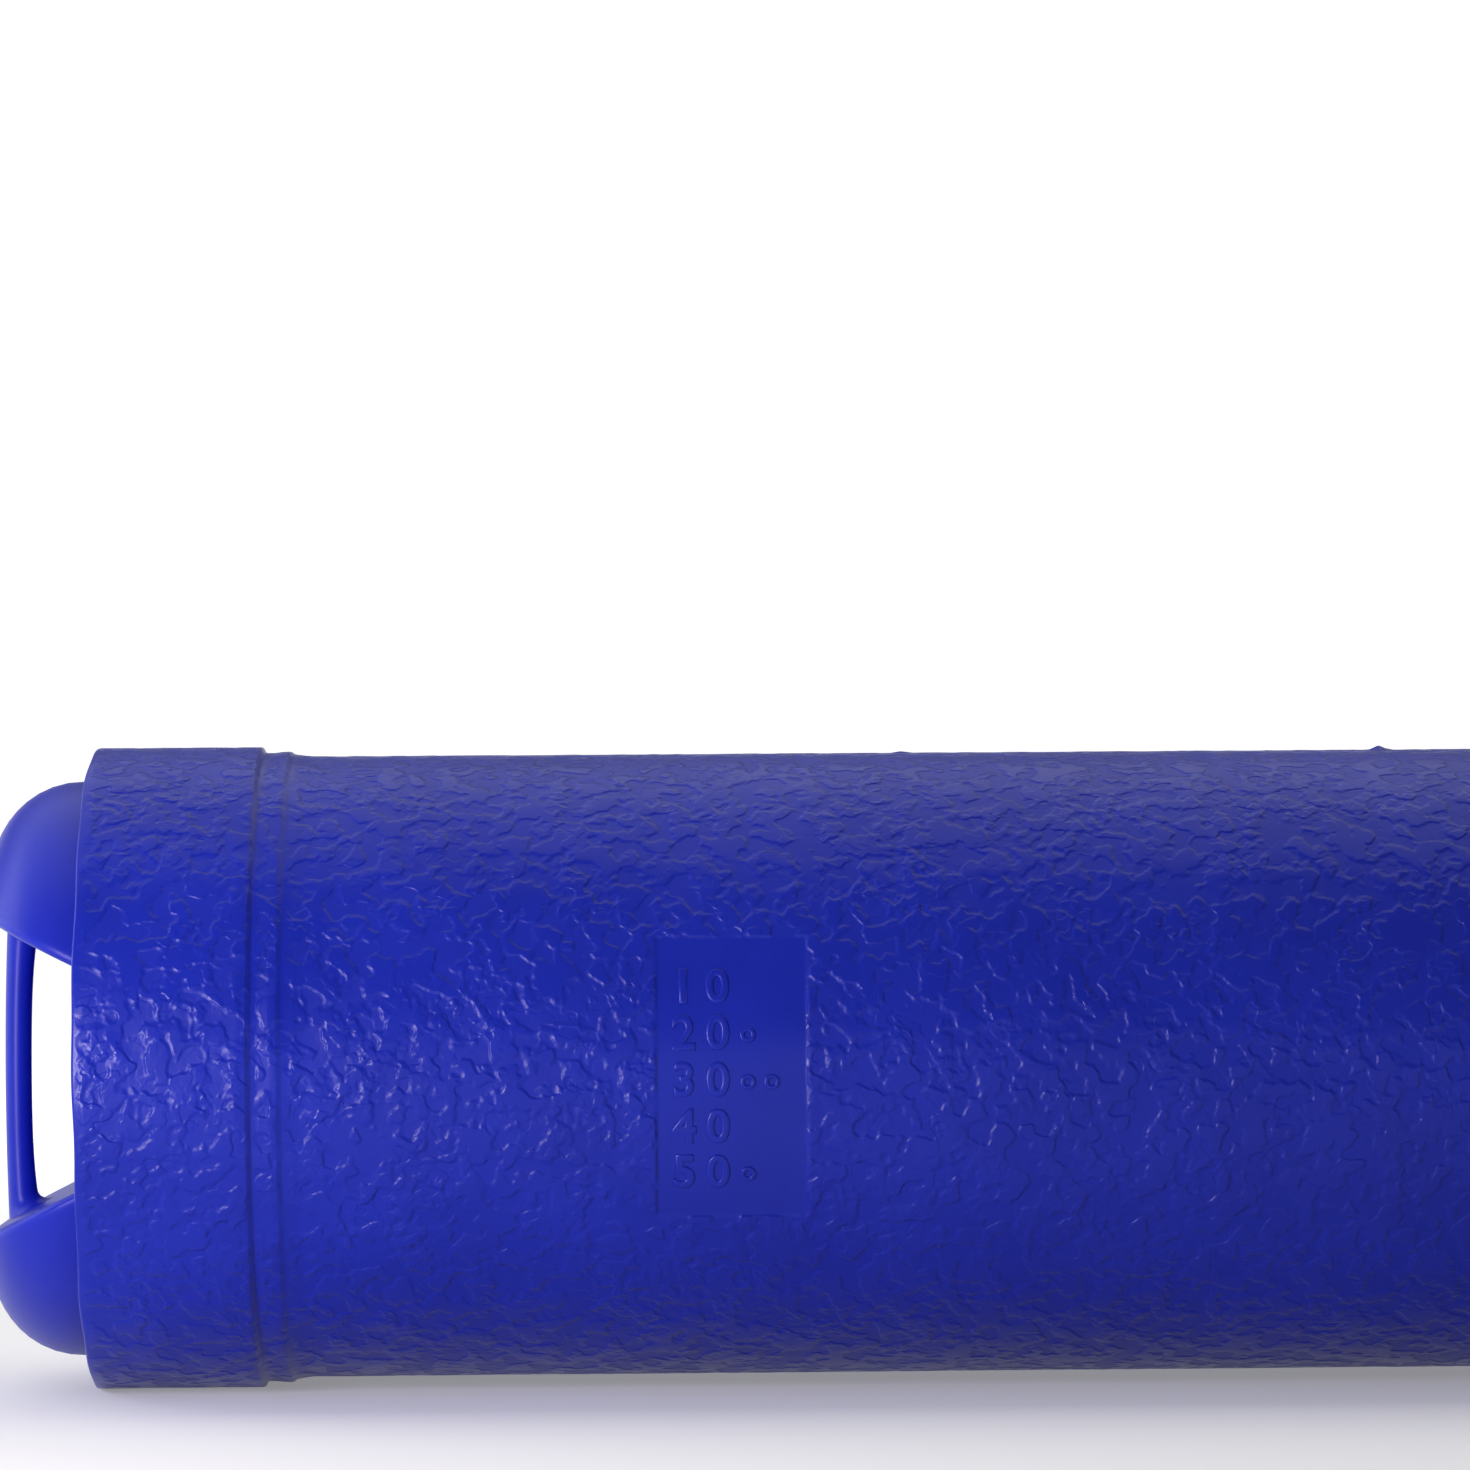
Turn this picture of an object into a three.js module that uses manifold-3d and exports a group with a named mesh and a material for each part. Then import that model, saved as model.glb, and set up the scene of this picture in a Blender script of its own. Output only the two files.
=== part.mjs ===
// Telescopic poster tube, shown closed and lying on its side.
// Two blow-moulded plastic sections: an outer tube with a collar round its mouth, and an inner
// tube that slides in it on two raised rings. The closed end of each is a rounded dome with a
// V-shaped hand notch cut right through it and a bar across the notch, for a carrying strap.
// Millimetres, +Z up, X along the tube. The inner tube draws out towards -X.
import * as THREE from 'three';
import * as BufferGeometryUtils from 'three/addons/utils/BufferGeometryUtils.js';
import Module from 'manifold-3d';

const wasm = await Module();
wasm.setup();

// Sizes both sections share
const wall = 1.6;
const roundSegments = 64;
const domeSteps = 5;

// Outer tube
const outerLength = 475;
const outerRadius = 45;
const collarLength = 23.8;
const collarRise = 1.45;
const collarStepRun = 1.5;
const beadLength = 3.3;
const beadRise = 0.7;
const beadStepRun = 1.9;
const outerDomeRadius = 13.6;

// Inner tube: its body clears the outer tube's bore by bodyClearance all round
const bodyClearance = 1.9;
const innerRadius = outerRadius - wall - bodyClearance;
const innerDomeRadius = 12.5;
const gripReach = 14.7;
const ringClearance = 0.4;
const lipLength = 8.5;
const lipStepRun = 1.2;
const guideDistance = 170;
const guideClearance = 0.6;
const guideStepRun = 0.9;
const guideLand = 6;
const guideTaper = 28;
const stopClearance = 0.5;

// Hand notch across each closed end, and the bar across its mouth
const notchHalfWidth = 22.5;
const notchDepth = 30;
const notchFlankAngle = THREE.MathUtils.degToRad(26);
const notchValleyRadius = 8;
const notchLipRadius = 2.2;
const barRadius = 1.9;
const barRootRadius = 2.9;
const barFlareLength = 7;
const barSetback = 1.2;
const barFlattening = 1.35;
const barSegments = 20;

// Smooth recessed panel for the marks, on the -Y side of the outer tube
const panelStart = 79.4;
const panelWidth = 22;
const panelHalfAngle = THREE.MathUtils.degToRad(26.6);
const panelDepth = 0.4;
const panelSegments = 24;

// Overrun of a cutting body past the face it opens
const overcut = 5;

const plasticBlue = new THREE.MeshStandardMaterial({ color: 0x262ea6, roughness: 0.48, metalness: 0 });

// A closed solid from a geometry: vertices merged, triangles that shrank to a line dropped
function solid(geometry) {
  const bare = geometry.index ? geometry.toNonIndexed() : geometry.clone();
  bare.deleteAttribute('normal');
  bare.deleteAttribute('uv');
  const merged = BufferGeometryUtils.mergeVertices(bare, 1e-4);
  const index = merged.index.array;
  const kept = [];
  for (let i = 0; i < index.length; i += 3) {
    const [a, b, c] = [index[i], index[i + 1], index[i + 2]];
    if (a !== b && b !== c && c !== a) kept.push(a, b, c);
  }
  return new wasm.Manifold(new wasm.Mesh({
    numProp: 3,
    vertProperties: new Float32Array(merged.attributes.position.array),
    triVerts: new Uint32Array(kept),
  }));
}

// A finished mesh from a solid
function meshOf(body, name) {
  const { vertProperties, triVerts } = body.getMesh();
  const geometry = new THREE.BufferGeometry();
  geometry.setAttribute('position', new THREE.BufferAttribute(vertProperties, 3));
  geometry.setIndex(new THREE.BufferAttribute(triVerts, 1));
  geometry.computeVertexNormals();
  const mesh = new THREE.Mesh(geometry, plasticBlue);
  mesh.name = name;
  return mesh;
}

// A profile of [station along X, radius] turned about X, with a flat facet underneath
function turned(profile) {
  const points = profile.map(([station, radius]) => new THREE.Vector2(radius, station));
  const geometry = new THREE.LatheGeometry(points, roundSegments, Math.PI / roundSegments);
  return solid(geometry.rotateZ(-Math.PI / 2));
}

// The quarter-round corner of a dome, from the side wall round to the end face
function domeCorner(length, sideRadius, cornerRadius) {
  return Array.from({ length: domeSteps + 1 }, (_, i) => {
    const turn = (Math.PI / 2) * (i / domeSteps);
    return [
      length - cornerRadius + cornerRadius * Math.sin(turn),
      sideRadius - cornerRadius + cornerRadius * Math.cos(turn),
    ];
  });
}

// The notch's outline in the XZ plane for a section that ends at the given length.
// grow moves it outwards all round, which keeps a wall of that thickness beside the notch.
function notchOutline(length, grow) {
  const [sine, cosine] = [Math.sin(notchFlankAngle), Math.cos(notchFlankAngle)];
  const slope = sine / cosine;
  const valleyStation = notchDepth - notchValleyRadius;
  const valleyHalf = notchHalfWidth - valleyStation * slope - notchValleyRadius / cosine;
  const lipHalf = notchHalfWidth - notchLipRadius * slope + notchLipRadius / cosine;
  const valleyArc = notchValleyRadius + grow;
  const lipArc = notchLipRadius - grow;
  const arcSteps = 4;
  const upper = [[-overcut, lipHalf]];
  for (let i = 0; i <= arcSteps; i++) {
    const turn = (Math.PI / 2 - notchFlankAngle) * (i / arcSteps);
    upper.push([
      notchLipRadius - lipArc * Math.cos(turn),
      lipHalf - lipArc * Math.sin(turn),
    ]);
  }
  for (let i = 0; i <= arcSteps; i++) {
    const turn = notchFlankAngle + (Math.PI / 2 - notchFlankAngle) * (i / arcSteps);
    upper.push([
      valleyStation + valleyArc * Math.sin(turn),
      valleyHalf + valleyArc * Math.cos(turn),
    ]);
  }
  const lower = upper.map(([depth, half]) => [depth, -half]).reverse();
  return [...upper, ...lower].map(([depth, half]) => new THREE.Vector2(length - depth, half));
}

// The notch as a body that runs right through the tube along Y
function notchBody(length, grow) {
  const reach = 2 * (outerRadius + collarRise + overcut);
  const geometry = new THREE.ExtrudeGeometry(new THREE.Shape(notchOutline(length, grow)), {
    depth: reach,
    bevelEnabled: false,
  });
  return solid(geometry.translate(0, 0, -reach / 2).rotateX(Math.PI / 2));
}

// The bar across the notch, waisted in the middle and flared where it runs into the flanks
function gripBar(length) {
  const barStation = barSetback + barRadius;
  const flankHalf = notchHalfWidth - barStation * Math.tan(notchFlankAngle);
  const rootHalf = flankHalf + 2 * wall;
  const flareSteps = 4;
  const half = [];
  for (let i = 0; i <= flareSteps; i++) {
    const share = i / flareSteps;
    half.push([
      flankHalf - barFlareLength * (1 - share),
      barRadius + (barRootRadius - barRadius) * share ** 2,
    ]);
  }
  half.push([rootHalf, barRootRadius], [rootHalf, 0]);
  const mirrored = half.map(([height, radius]) => [-height, radius]).reverse();
  const points = [...mirrored, ...half].map(([height, radius]) => new THREE.Vector2(radius, height));
  const geometry = new THREE.LatheGeometry(points, barSegments);
  geometry.rotateX(Math.PI / 2).scale(1, barFlattening, 1);
  return solid(geometry.translate(length - barStation, 0, 0));
}

// One blown section with its open mouth at x = 0 and its closed end at x = length
function blownSection(length, sideProfile, domeRadius) {
  const sideRadius = sideProfile.at(-1)[1];
  const form = turned([
    [0, 0],
    ...sideProfile,
    ...domeCorner(length, sideRadius, domeRadius),
    [length, 0],
  ]);
  const boreProfile = sideProfile.map(([station, radius]) => [station, radius - wall]);
  const cavity = turned([
    [-overcut, 0],
    [-overcut, boreProfile[0][1]],
    ...boreProfile,
    ...domeCorner(length - wall, sideRadius - wall, domeRadius - wall),
    [length - wall, 0],
  ]);
  const hollow = cavity.subtract(notchBody(length, wall));
  const shell = form.subtract(notchBody(length, 0)).subtract(hollow);
  return shell.add(gripBar(length).subtract(hollow));
}

// Outer side of the outer tube: collar, low bead, then the plain body
function outerSide() {
  const collarEnd = collarLength + collarStepRun;
  const beadEnd = collarEnd + beadLength;
  return [
    [0, outerRadius + collarRise],
    [collarLength, outerRadius + collarRise],
    [collarEnd, outerRadius + beadRise],
    [beadEnd, outerRadius + beadRise],
    [beadEnd + beadStepRun, outerRadius],
  ];
}

// Outer side of the inner tube: lip ring at its mouth, then the guide ring with its long taper
function innerSide() {
  const bore = outerRadius - wall;
  const guideStart = guideDistance + guideStepRun;
  return [
    [0, bore - ringClearance],
    [lipLength, bore - ringClearance],
    [lipLength + lipStepRun, innerRadius],
    [guideDistance, innerRadius],
    [guideStart, bore - guideClearance],
    [guideStart + guideLand, bore - guideClearance],
    [guideStart + guideLand + guideTaper, innerRadius],
  ];
}

// The recess for the marks: an arched slab that sinks panelDepth into the outer tube's front
function panelRecess() {
  const [floor, top] = [outerRadius - panelDepth, outerRadius + collarRise];
  const arc = (radius, sign) => Array.from({ length: panelSegments + 1 }, (_, i) => {
    const angle = sign * panelHalfAngle * (1 - (2 * i) / panelSegments);
    return new THREE.Vector2(radius * Math.cos(angle), radius * Math.sin(angle));
  });
  const outline = new THREE.Shape([...arc(top, -1), ...arc(floor, 1)]);
  const geometry = new THREE.ExtrudeGeometry(outline, { depth: panelWidth, bevelEnabled: false });
  geometry.rotateY(Math.PI / 2).rotateX(Math.PI / 2);
  return solid(geometry.translate(panelStart, 0, 0));
}

const stopStation = outerLength - notchDepth - wall;
const innerLength = stopStation - stopClearance + gripReach;
const closedLength = outerLength + gripReach;
const mouthX = -closedLength / 2 + gripReach;
const axisHeight = (outerRadius + collarRise) * Math.cos(Math.PI / roundSegments);

const outerTube = meshOf(
  blownSection(outerLength, outerSide(), outerDomeRadius).subtract(panelRecess()),
  'outer_tube',
);
outerTube.position.set(mouthX, 0, axisHeight);

const innerTube = meshOf(blownSection(innerLength, innerSide(), innerDomeRadius), 'inner_tube');
innerTube.rotation.z = Math.PI;
innerTube.position.set(innerLength - closedLength / 2, 0, axisHeight);

const posterTube = new THREE.Group();
posterTube.add(outerTube, innerTube);

export default posterTube;
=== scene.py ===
import logging
import math
from dataclasses import dataclass, field
from enum import Enum

import bpy
import numpy as np
from mathutils import Matrix, Vector


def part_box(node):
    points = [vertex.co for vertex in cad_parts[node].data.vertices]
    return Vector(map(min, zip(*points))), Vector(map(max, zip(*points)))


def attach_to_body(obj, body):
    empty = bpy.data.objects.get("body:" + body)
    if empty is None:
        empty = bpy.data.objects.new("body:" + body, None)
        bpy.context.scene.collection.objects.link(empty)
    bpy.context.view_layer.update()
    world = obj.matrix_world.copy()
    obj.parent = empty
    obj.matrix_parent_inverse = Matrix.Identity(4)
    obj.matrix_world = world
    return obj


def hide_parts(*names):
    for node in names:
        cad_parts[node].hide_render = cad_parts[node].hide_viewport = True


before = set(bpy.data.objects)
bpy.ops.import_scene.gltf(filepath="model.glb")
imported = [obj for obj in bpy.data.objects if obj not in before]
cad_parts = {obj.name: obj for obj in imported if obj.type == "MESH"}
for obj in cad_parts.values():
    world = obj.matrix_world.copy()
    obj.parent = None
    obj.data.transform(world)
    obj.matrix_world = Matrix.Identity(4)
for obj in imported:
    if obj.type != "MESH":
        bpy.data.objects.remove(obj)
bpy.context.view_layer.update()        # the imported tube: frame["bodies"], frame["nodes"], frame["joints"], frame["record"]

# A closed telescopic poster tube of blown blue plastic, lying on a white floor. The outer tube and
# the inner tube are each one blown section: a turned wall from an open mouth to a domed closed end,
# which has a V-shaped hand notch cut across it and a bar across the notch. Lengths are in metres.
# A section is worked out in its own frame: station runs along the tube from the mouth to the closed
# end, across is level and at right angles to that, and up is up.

Array = np.ndarray
log = logging.getLogger("poster_tube")

MM = 0.001
UNION_TOLERANCE = 0.01 * MM
WALL = 1.6 * MM
PHOTO_PIXELS = 1470
SHARP_ANGLE = math.radians(60)
RIM_SHARES = np.array([0.0, 0.06, 0.25, 0.55])

# The Mix node has one set of sockets for each kind of data, so its colour sockets go by number.
MIX_COLOUR_A, MIX_COLOUR_B, MIX_COLOUR_RESULT = 6, 7, 2


class Surface(Enum):
    """The two textures that the mould gives the plastic."""

    GRAINED = "grained_plastic"
    SATIN = "satin_plastic"


def smooth_step(value: Array, start: float, stop: float) -> Array:
    """Rise from 0 at start to 1 at stop along the cubic 3t^2 - 2t^3.

    Args:
        value: Where to work the step out.
        start: The value at which the step leaves 0.
        stop: The value at which the step reaches 1. It may be below start.

    Returns:
        The height of the step at each value.
    """
    share = np.clip((value - start) / (stop - start), 0.0, 1.0)
    return share * share * (3.0 - 2.0 * share)


def bell(value: Array, centre: float, half_width: float) -> Array:
    """Give the Gaussian exp(-((value - centre) / half_width)^2)."""
    return np.exp(-(((value - centre) / half_width) ** 2))


def stops(start: float, stop: float, pitch: float, crisp: tuple[float, ...] = (), blur: float = 0.0) -> Array:
    """Spread even stops from start to stop, with close ones at each crisp place.

    Args:
        start: The first stop.
        stop: The last stop.
        pitch: The largest step between even stops.
        crisp: Places that get stops of their own, where a form turns sharply.
        blur: How far on each side of a crisp place its outer stops lie.

    Returns:
        The stops in rising order, none closer than a tenth of blur.
    """
    even = np.linspace(start, stop, max(2, int(math.ceil((stop - start) / pitch)) + 1))
    offsets = np.array([-1.0, -0.35, 0.35, 1.0]) * blur
    close = (np.array(crisp)[:, None] + offsets[None, :]).ravel() if crisp else np.empty(0)
    close = close[(close > start) & (close < stop)]
    if close.size:
        gap = np.abs(even[:, None] - close[None, :]).min(axis=1)
        keep = gap > 0.3 * pitch
        keep[[0, -1]] = True
        even = even[keep]
    return np.unique(np.concatenate([even, close]))


def grid_faces(rows: int, columns: int, closed: bool = False) -> Array:
    """Index the quads of a grid whose vertices are numbered row by row.

    Args:
        rows: How many rows of vertices the grid has.
        columns: How many vertices a row has.
        closed: Whether the last column joins the first.

    Returns:
        One row of four vertex numbers for each quad.
    """
    ends = columns if closed else columns - 1
    first = np.arange(rows - 1)[:, None] * columns + np.arange(ends)[None, :]
    beside = np.arange(rows - 1)[:, None] * columns + (np.arange(ends)[None, :] + 1) % columns
    return np.stack([first, beside, beside + columns, first + columns], axis=-1).reshape(-1, 4)


def weld(points: Array, quads: Array) -> tuple[Array, list[list[int]], Array]:
    """Join vertices that fall in one cell of UNION_TOLERANCE, and drop faces left without area.

    Args:
        points: The vertices, one row each.
        quads: Four vertex numbers for each face.

    Returns:
        The kept vertices, each face's vertex numbers, and the old number of each kept vertex.
    """
    cells = np.round(points / UNION_TOLERANCE).astype(np.int64)
    _, kept, merged = np.unique(cells, axis=0, return_index=True, return_inverse=True)
    corners = merged.ravel()[quads]
    faces = []
    for size in (4, 3):
        distinct = corners != np.roll(corners, -1, axis=1)
        whole = distinct.sum(axis=1) == size
        faces.extend(corners[whole][distinct[whole]].reshape(-1, size).tolist())
    return points[kept], faces, kept


class MeshPiece:
    """A mesh that grows patch by patch and becomes one object of the scene."""

    def __init__(self, name: str) -> None:
        """Start an empty piece.

        Args:
            name: The name that the finished object gets.
        """
        self.name = name
        self.points: list[Array] = []
        self.quads: list[Array] = []
        self.grain: list[Array] = []
        self.count = 0

    def add(self, points: Array, quads: Array, grain: float | Array = 0.0) -> None:
        """Add one patch of surface.

        Args:
            points: The patch's vertices, in any array shape that ends in x, y, z.
            quads: The patch's faces, numbered from its own first vertex.
            grain: How strongly the leather grain covers each vertex, from 0 to 1.
        """
        flat = points.reshape(-1, 3)
        self.points.append(flat)
        self.quads.append(quads + self.count)
        self.grain.append(np.broadcast_to(np.asarray(grain, dtype=float).ravel(), (len(flat),)))
        self.count += len(flat)

    def build(self) -> bpy.types.Object:
        """Weld the patches and put them in the scene.

        Returns:
            The object, at the origin, smooth shaded, with the point attribute "grain".
        """
        points, faces, kept = weld(np.concatenate(self.points), np.concatenate(self.quads))
        mesh = bpy.data.meshes.new(self.name)
        mesh.from_pydata(points, [], faces)
        mesh.update()
        grain = np.concatenate(self.grain)[kept]
        mesh.attributes.new("grain", "FLOAT", "POINT").data.foreach_set("value", grain)
        mesh.shade_smooth()
        mesh.set_sharp_from_angle(angle=SHARP_ANGLE)
        piece = bpy.data.objects.new(self.name, mesh)
        bpy.context.collection.objects.link(piece)
        return piece


@dataclass(frozen=True)
class Notch:
    """The hand notch across a closed end: a V with a round valley, cut right through along across.

    Depth runs inwards from the end plane, and up is measured from the tube's axis.
    """

    half_width: float = 22.6 * MM
    depth: float = 30.0 * MM
    flank_angle: float = math.radians(25.8)
    valley_radius: float = 8.0 * MM

    def core_corner(self) -> tuple[float, float]:
        """Give the depth and height of the corner about which the valley's round turns."""
        depth = self.depth - self.valley_radius
        height = self.flank_height(depth) - self.valley_radius / math.cos(self.flank_angle)
        return depth, height

    def flank_height(self, depth: Array | float) -> Array | float:
        """Give the height of the straight flank, half_width - depth * tan(flank_angle)."""
        return self.half_width - depth * math.tan(self.flank_angle)

    def distance(self, depth: Array, up: Array) -> Array:
        """Give the distance to the notch's surface, negative inside the notch.

        The notch is a core with straight sides, grown by valley_radius all round. Outside the core
        the distance is to its flank, its floor or the corner between them, whichever is nearest.
        """
        corner_depth, corner_height = self.core_corner()
        sine, cosine = math.sin(self.flank_angle), math.cos(self.flank_angle)
        past, above = depth - corner_depth, np.abs(up) - corner_height
        off_flank = past * sine + above * cosine
        by_corner = (past * cosine - above * sine > 0.0) & (above > 0.0)
        straight = np.maximum(off_flank, past)
        return np.where(by_corner, np.hypot(past, above), straight) - self.valley_radius

    def outline(self, samples: int) -> tuple[Array, Array]:
        """Trace the upper half of the notch from in front of the end plane to the middle of its valley.

        Args:
            samples: How many points the straight flank gets. The round and the floor add more.

        Returns:
            The depth and the height of each point.
        """
        corner_depth, corner_height = self.core_corner()
        tangent_depth = corner_depth + self.valley_radius * math.sin(self.flank_angle)
        flank_depth = np.linspace(-4.0 * MM, tangent_depth, samples)
        turn = np.linspace(self.flank_angle, math.pi / 2, samples // 2)[1:]
        floor_height = np.linspace(corner_height, 0.0, samples // 6)[1:]
        round_depth = corner_depth + self.valley_radius * np.sin(turn)
        round_height = corner_height + self.valley_radius * np.cos(turn)
        depth = np.concatenate([flank_depth, round_depth, np.full_like(floor_height, self.depth)])
        height = np.concatenate([self.flank_height(flank_depth), round_height, floor_height])
        return depth, height


@dataclass(frozen=True)
class GripBar:
    """The bar across the notch: waisted, a little bowed, and flared where it meets the flanks."""

    radius: float = 1.9 * MM
    flattening: float = 1.35
    setback: float = 1.1 * MM
    bow: float = 0.45 * MM
    flare: float = 0.3 * MM
    root_fillet: float = 2.4 * MM
    sides: int = 36
    rings: int = 97

    def surface(self, notch: Notch) -> tuple[Array, Array, Array]:
        """Work out the bar's grid, ring by ring from its lower foot to its upper one.

        Every ring lies at one share of the flank's height, so the last rings lie flat on the sloping
        flanks. Near a foot the radius grows as a quarter-round fillet of root_fillet does, and the
        ring's middle shifts inwards by as much, so that the foot spreads away from the end plane.
        The outermost rings close up inside the wall.

        Args:
            notch: The notch that the bar crosses.

        Returns:
            Depth, across and up of the grid's points.
        """
        middle = self.setback + self.radius
        sunk = 0.5 * WALL / notch.flank_height(middle)
        share = np.sin(np.linspace(-math.pi / 2, math.pi / 2, self.rings)) * (1.0 + sunk)
        share = np.concatenate([[share[0]], share, [share[-1]]])
        gap = np.maximum(1.0 - np.abs(share), 0.0) * notch.flank_height(middle)
        left = np.clip(self.root_fillet - gap, 0.0, None)
        fillet = self.root_fillet - np.sqrt(self.root_fillet**2 - left**2)
        radius = self.radius + self.flare * share**4 + 0.55 * fillet
        inwards = self.bow * share**2 + radius - self.radius
        radius[[0, -1]] = 0.0
        turn = np.linspace(0.0, 2.0 * math.pi, self.sides, endpoint=False)
        depth = middle + inwards[:, None] + radius[:, None] * np.cos(turn)
        across = self.flattening * radius[:, None] * np.sin(turn)
        up = share[:, None] * notch.flank_height(depth)
        return depth, across, up


@dataclass
class BlownSection:
    """One blown section of the tube, from its open mouth to its notched and barred closed end."""

    name: str
    node: str
    body: str
    mouth: float
    direction: int
    length: float
    radius: float
    dome_radius: float
    axis_height: float
    notch: Notch = field(default_factory=Notch)
    bar: GripBar = field(default_factory=GripBar)
    edge_radius: float = 1.5 * MM
    grip_length: float = 38.0 * MM
    grain_fade: float = 6.0 * MM
    rim_round: float = 0.45 * MM
    rim_stray: float = 0.15 * MM
    stray_fade: float = 3.0 * MM
    slices: int = 181
    dome_columns: int = 36
    notch_columns: int = 30

    def place(self, station: Array, across: Array, up: Array) -> Array:
        """Turn the section's own coordinates into the frame's.

        Args:
            station: The way from the mouth plane towards the closed end.
            across: The level way at right angles to the tube.
            up: The height over the tube's axis.

        Returns:
            An array that ends in x, y, z.
        """
        station, across, up = np.broadcast_arrays(station, across, up)
        return np.stack(
            [self.mouth + self.direction * station, self.direction * across, self.axis_height + up], axis=-1
        )

    def turned(self, station: Array, angle: Array, radius: Array) -> Array:
        """Place points of the turned wall. Angle 0 is the top line, and a quarter turn is +across."""
        return self.place(station, radius * np.sin(angle), radius * np.cos(angle))

    def side_radius(self, station: Array, angle: Array) -> Array:
        """Give the outer radius of the wall at each station and angle."""
        return np.full(np.broadcast(station, angle).shape, self.radius)

    def grain_cover(self, station: Array, angle: Array) -> Array:
        """Give how strongly the leather grain covers the wall, from 0 to 1. It fades out at the dome."""
        fade_end = self.length - self.grip_length
        cover = smooth_step(station, fade_end, fade_end - self.grain_fade)
        return np.broadcast_to(cover, np.broadcast(station, angle).shape)

    def wall_stations(self) -> Array:
        """Give the stations of the wall's rings."""
        return stops(0.0, self.length - self.grip_length, 2.2 * MM)

    def wall_angles(self) -> Array:
        """Give the angles of the wall's lines, from -pi up to but not including pi."""
        return np.linspace(-math.pi, math.pi, 240, endpoint=False)

    def rim_wander(self, angle: Array) -> Array:
        """Give how far the trimmed rim strays from the mouth plane: three sines round the tube, added."""
        waves = np.sin(3 * angle + 0.6) + 0.6 * np.sin(7 * angle + 2.0) + 0.5 * np.sin(17 * angle)
        return self.rim_stray * waves

    def strayed(self, station: Array, angle: Array) -> Array:
        """Shift the rings near the mouth by the rim's wander, which fades out over stray_fade."""
        return station + self.rim_wander(angle) * (1.0 - smooth_step(station, 0.0, self.stray_fade))

    def bore_stations(self) -> Array:
        """Give the stations of the bore's rings, apart from the last."""
        return np.array([0.0, self.rim_round])

    def build_wall(self) -> bpy.types.Object:
        """Build the open tube: its outer side, the trimmed rim, the bore and the ring at its far end."""
        piece = MeshPiece(f"{self.name}_wall")
        angle = self.wall_angles()[None, :]
        station = self.wall_stations()[:, None]
        radius = self.side_radius(station, angle)
        rounding = np.clip(self.rim_round - station, 0.0, None)
        radius = radius - self.rim_round + np.sqrt(self.rim_round**2 - rounding**2)
        outer = self.turned(self.strayed(station, angle), angle, radius)
        outer_faces = grid_faces(len(outer), angle.size, closed=True)[:, ::-1]
        piece.add(outer, outer_faces, self.grain_cover(station, angle))
        bore_station = np.append(self.bore_stations(), station[-1])[:, None]
        bore_edge = np.clip(1.0 - bore_station / self.rim_round, 0.0, 1.0)
        bore_radius = self.side_radius(bore_station, angle) - WALL + 0.5 * self.rim_round * bore_edge
        bore = self.turned(self.strayed(bore_station, angle), angle, bore_radius)
        piece.add(bore, grid_faces(len(bore), angle.size, closed=True))
        ring_faces = grid_faces(2, angle.size, closed=True)
        piece.add(np.stack([bore[0], outer[0]]), ring_faces[:, ::-1])
        piece.add(np.stack([bore[-1], outer[-1]]), ring_faces)
        return piece.build()

    def end_distance(self, depth: Array, across: Array, up: Array) -> Array:
        """Give the distance to the closed end's outer surface, negative inside it.

        The dome is a cylinder with a corner of dome_radius. It and what lies outside the notch are
        joined by the rounded intersection, whose edge is an arc of edge_radius.
        """
        past_ring = np.hypot(across, up) - (self.radius - self.dome_radius)
        past_depth = self.dome_radius - depth
        corner = np.hypot(np.maximum(past_ring, 0.0), np.maximum(past_depth, 0.0))
        dome = corner + np.minimum(np.maximum(past_ring, past_depth), 0.0) - self.dome_radius
        cut = -self.notch.distance(depth, up)
        rounded = np.hypot(np.maximum(dome + self.edge_radius, 0.0), np.maximum(cut + self.edge_radius, 0.0))
        return np.minimum(-self.edge_radius, np.maximum(dome, cut)) + rounded

    def end_sheet(self) -> Array:
        """Lay a grid over the sharp-edged closed end: one upright slice for each row.

        A slice at one value of across follows the dome's meridian from the wall to the notch, then
        the notch's outline to the middle of its valley, and the same again below in mirror image.
        Points crowd towards the edge between dome and notch.

        Returns:
            Depth, across and up of the points, in an array of shape (3, slices, columns).
        """
        side, corner, face = 1500, 500, 500
        turn = np.linspace(0.0, math.pi / 2, corner)
        flat_ring = self.radius - self.dome_radius
        meridian_depth = np.concatenate(
            [
                np.linspace(self.grip_length, self.dome_radius, side, endpoint=False),
                self.dome_radius * (1.0 - np.sin(turn)),
                np.zeros(face),
            ]
        )
        meridian_ring = np.concatenate(
            [
                np.full(side, self.radius),
                flat_ring + self.dome_radius * np.cos(turn),
                np.linspace(flat_ring, 0.0, face + 1)[1:],
            ]
        )
        outline_depth, outline_height = self.notch.outline(1200)
        outline_way = np.append(0.0, np.cumsum(np.hypot(np.diff(outline_depth), np.diff(outline_height))))
        across = self.radius * np.sin(np.linspace(-math.pi / 2, math.pi / 2, self.slices))[:, None]
        notch_height = np.interp(meridian_depth, outline_depth, outline_height, right=0.0)
        height = np.sqrt(np.clip(meridian_ring**2 - across**2, 0.0, None))
        met = (height < notch_height) | (meridian_ring < np.abs(across))
        last = np.maximum(met.argmax(axis=1) - 1, 0)[:, None].astype(float)
        share = 1.0 - (1.0 - np.linspace(0.0, 1.0, self.dome_columns)) ** 1.7
        dome_index = last * share
        count = np.arange(len(meridian_depth))
        dome_depth = np.interp(dome_index, count, meridian_depth)
        dome_ring = np.interp(dome_index, count, meridian_ring)
        dome_height = np.sqrt(np.clip(dome_ring**2 - across**2, 0.0, None))
        start = np.interp(dome_depth[:, -1:], outline_depth, outline_way)
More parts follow.
